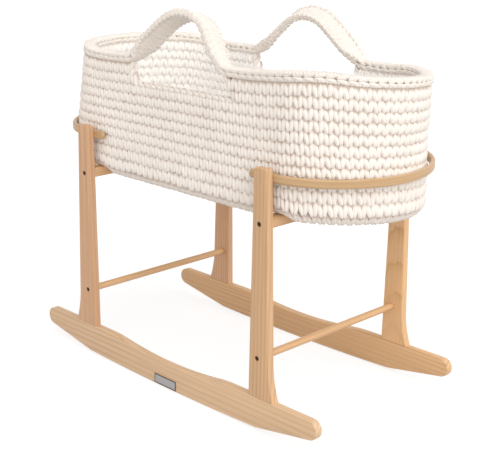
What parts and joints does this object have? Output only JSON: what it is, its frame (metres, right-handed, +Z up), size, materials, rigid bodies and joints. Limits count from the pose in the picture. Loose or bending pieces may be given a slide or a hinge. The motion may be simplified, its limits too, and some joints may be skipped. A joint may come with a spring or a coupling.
{
  "type": "moses basket rocking stand",
  "caption": "Low wooden rocking stand with tapered posts and bent-wood hoops that hold an oval crocheted moses basket with arched handles, which lifts straight out.",
  "frame": {"origin": "on the floor under the middle of the stand, at the lowest line of the rockers", "axes": "+X along the rockers and the basket, +Y from the near rocker to the far rocker, +Z up"},
  "size_m": [0.8504, 0.41, 0.7474],
  "materials": {
    "pine": "satin clear lacquer",
    "bent_wood": "satin clear lacquer",
    "bronzed_steel": "satin",
    "zinc_steel": "plain",
    "cotton_yarn": "chunky crochet"
  },
  "bodies": {
    "stand": {"near_rocker": "pine", "far_rocker": "pine", "near_left_post": "pine", "near_right_post": "pine", "far_left_post": "pine", "far_right_post": "pine", "left_rail": "pine", "right_rail": "pine", "left_stretcher": "pine", "right_stretcher": "pine", "left_hoop": "bent_wood", "right_hoop": "bent_wood", "rail_bolts": "bronzed_steel", "rail_nuts": "zinc_steel", "stretcher_screws": "bronzed_steel", "hoop_screws": "zinc_steel", "post_pegs": "pine"},
    "basket": {"basket_base": "cotton_yarn", "basket_wall": "cotton_yarn", "basket_rim": "cotton_yarn", "near_handle": "cotton_yarn", "far_handle": "cotton_yarn"}
  },
  "joints": [
    {"name": "basket_lift", "type": "slide", "parent": "stand", "child": "basket", "axis": [0, 0, 1], "range_m": [0, 0.3]}
  ]
}
